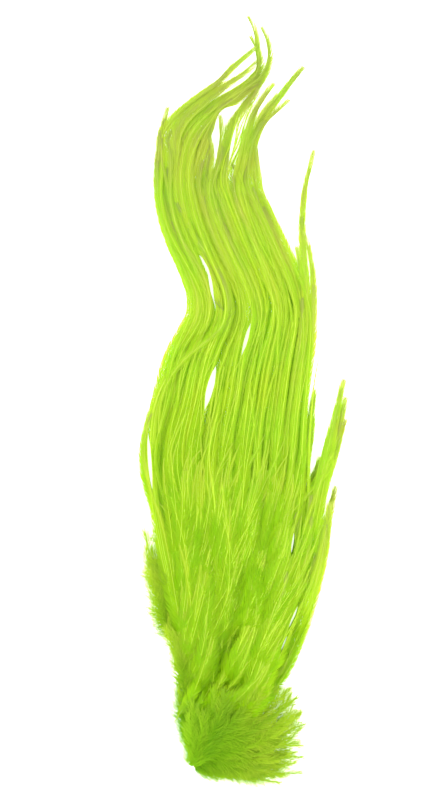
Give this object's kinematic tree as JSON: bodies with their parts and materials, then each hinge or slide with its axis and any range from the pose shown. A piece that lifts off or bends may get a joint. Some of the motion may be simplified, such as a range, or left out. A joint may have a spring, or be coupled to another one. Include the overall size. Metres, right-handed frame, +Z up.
{
  "type": "rooster saddle hackle",
  "caption": "Dyed patch of rooster saddle skin with long streaming hackle feathers and down at its neck end, lying flat.",
  "frame": {"origin": "bottom centre of the patch's box, on the surface that its skin lies on", "axes": "+Y along the feathers, from the neck end of the skin to the longest tips; +Z up, off the surface; +X to the right of the patch as it is seen from above"},
  "size_m": [0.1126, 0.4208, 0.0201],
  "materials": {
    "skin": "dried dyed skin, matt, with raised feather follicles",
    "hackle": "dyed lime green feather barbs and quills, satin and partly see-through",
    "down": "dyed deeper green down, soft and matt"
  },
  "bodies": {
    "root": {"down_tuft_01": "down", "down_tuft_02": "down", "down_tuft_03": "down", "down_tuft_04": "down", "down_tuft_05": "down", "down_tuft_06": "down", "down_tuft_07": "down", "down_tuft_08": "down", "down_tuft_09": "down", "down_tuft_10": "down", "down_tuft_11": "down", "down_tuft_12": "down", "down_tuft_13": "down", "down_tuft_14": "down", "hackle_lock_01": "hackle", "hackle_lock_02": "hackle", "hackle_lock_03": "hackle", "hackle_lock_04": "hackle", "hackle_lock_05": "hackle", "hackle_lock_06": "hackle", "hackle_lock_07": "hackle", "hackle_lock_08": "hackle", "hackle_lock_09": "hackle", "hackle_lock_10": "hackle", "hackle_lock_11": "hackle", "hackle_lock_12": "hackle", "hackle_lock_13": "hackle", "hackle_lock_14": "hackle", "hackle_lock_15": "hackle", "hackle_lock_16": "hackle", "hackle_lock_17": "hackle", "hackle_lock_18": "hackle", "hackle_lock_19": "hackle", "hackle_lock_20": "hackle", "hackle_lock_21": "hackle", "hackle_lock_22": "hackle", "hackle_lock_23": "hackle", "hackle_lock_24": "hackle", "hackle_lock_25": "hackle", "hackle_lock_26": "hackle", "hackle_lock_27": "hackle", "hackle_lock_28": "hackle", "hackle_lock_29": "hackle", "hackle_lock_30": "hackle", "hackle_lock_31": "hackle", "hackle_lock_32": "hackle", "hackle_lock_33": "hackle", "hackle_lock_34": "hackle", "hackle_lock_35": "hackle", "hackle_lock_36": "hackle", "hackle_lock_37": "hackle", "hackle_lock_38": "hackle", "hackle_lock_39": "hackle", "hackle_lock_40": "hackle", "hackle_lock_41": "hackle", "hackle_lock_42": "hackle", "hackle_lock_43": "hackle", "hackle_lock_44": "hackle", "hackle_lock_45": "hackle", "saddle_skin": "skin"}
  },
  "joints": []
}
